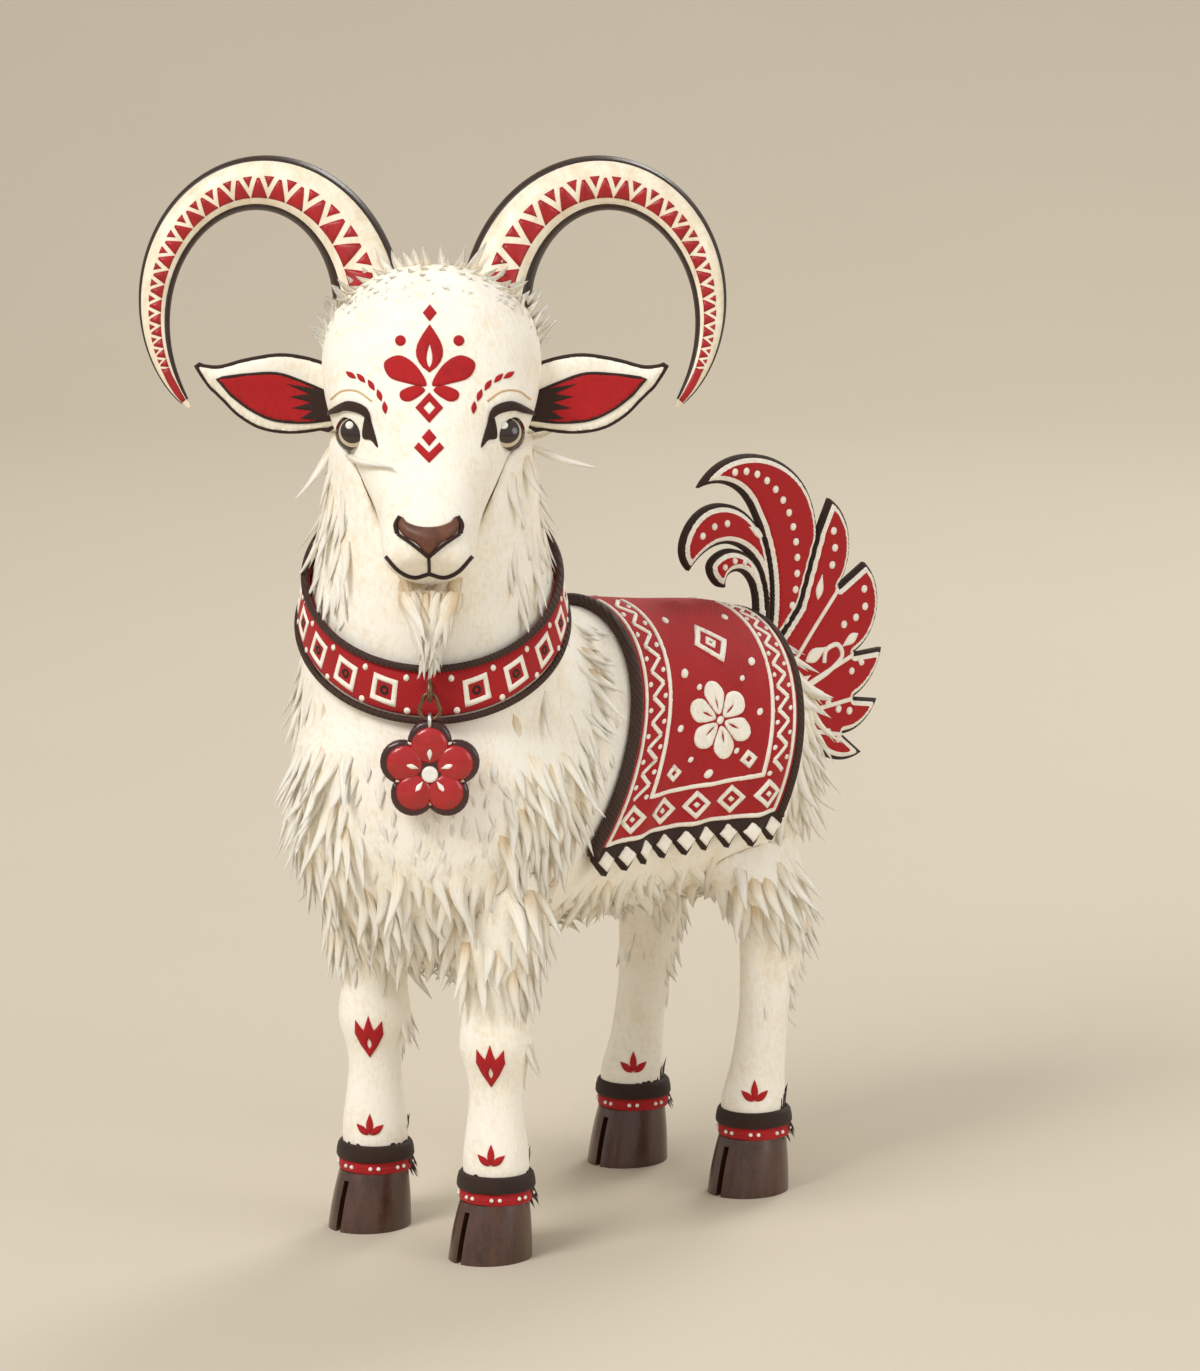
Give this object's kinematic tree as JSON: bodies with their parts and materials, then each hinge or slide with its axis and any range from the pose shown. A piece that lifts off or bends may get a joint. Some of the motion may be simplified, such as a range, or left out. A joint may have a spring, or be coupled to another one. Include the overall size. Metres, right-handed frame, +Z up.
{
  "type": "festive goat figure",
  "caption": "Standing cream wool goat figure with curled painted horns, woven red collar and blanket, red plume tail and a hanging flower pendant.",
  "frame": {"origin": "centre of the footprint of the whole figure, on the surface that the hooves stand on", "axes": "+Z up, the longest extent; the body faces -Y with the head turned 45 degrees towards +X"},
  "size_m": [0.1248, 0.2468, 0.3229],
  "materials": {
    "straw": "matt bound straw",
    "twine": "matt jute twine",
    "wood_dowel": "bare beech",
    "wood_core": "bare lime wood",
    "cream_wool": "long curly wool",
    "hoof_horn": "dark stained, satin",
    "dark_fur": "short dark pile",
    "red_felt": "wool felt",
    "painted_horn": "carved and painted, satin",
    "ear_felt": "wool felt",
    "eye_glass": "glossy",
    "nose_leather": "soft matt leather",
    "woven_red": "woven wool with white pattern",
    "brown_braid": "braided edging",
    "brown_metal": "dark bronzed",
    "tail_felt": "layered felt",
    "silver_wire": "polished",
    "red_enamel": "enamel gloss",
    "white_bead": "gloss"
  },
  "bodies": {
    "goat": {"beard": "cream_wool", "blanket": "woven_red", "blanket_binding": "brown_braid", "blanket_fringe": "brown_braid", "body_fleece": "cream_wool", "collar": "woven_red", "collar_loop": "brown_metal", "collar_piping": "brown_braid", "core_bindings": "twine", "forelock": "cream_wool", "front_left_hoof": "hoof_horn", "front_left_hoof_band": "red_felt", "front_left_hoof_cuff": "dark_fur", "front_left_leg_dowel": "wood_dowel", "front_left_leg_fleece": "cream_wool", "front_right_hoof": "hoof_horn", "front_right_hoof_band": "red_felt", "front_right_hoof_cuff": "dark_fur", "front_right_leg_dowel": "wood_dowel", "front_right_leg_fleece": "cream_wool", "head_core": "wood_core", "head_fleece": "cream_wool", "hind_left_hoof": "hoof_horn", "hind_left_hoof_band": "red_felt", "hind_left_hoof_cuff": "dark_fur", "hind_left_leg_dowel": "wood_dowel", "hind_left_leg_fleece": "cream_wool", "hind_right_hoof": "hoof_horn", "hind_right_hoof_band": "red_felt", "hind_right_hoof_cuff": "dark_fur", "hind_right_leg_dowel": "wood_dowel", "hind_right_leg_fleece": "cream_wool", "left_ear": "ear_felt", "left_ear_lining": "red_felt", "left_eye": "eye_glass", "left_horn": "painted_horn", "left_horn_peg": "wood_dowel", "neck_dowel": "wood_dowel", "neck_fleece": "cream_wool", "nose_pad": "nose_leather", "right_ear": "ear_felt", "right_ear_lining": "red_felt", "right_eye": "eye_glass", "right_horn": "painted_horn", "right_horn_peg": "wood_dowel", "straw_core": "straw", "tail_crest_plume": "tail_felt", "tail_curl": "tail_felt", "tail_front_plume": "tail_felt", "tail_peg": "wood_dowel", "tail_rear_plume": "tail_felt"},
    "link": {"drop_link": "silver_wire"},
    "pendant": {"pendant_bail": "silver_wire", "pendant_flower": "red_enamel", "pendant_bead": "white_bead"}
  },
  "joints": [
    {"name": "link_swing", "type": "hinge", "parent": "goat", "child": "link", "pos_m": [0.04294, -0.1039, 0.1752], "axis": [-0.7071, -0.7071, 0], "range_deg": [0, 70]},
    {"name": "pendant_rock", "type": "hinge", "parent": "link", "child": "pendant", "pos_m": [0.04294, -0.1039, 0.1682], "axis": [0.7071, -0.7071, 0], "range_deg": [-30, 30]}
  ]
}
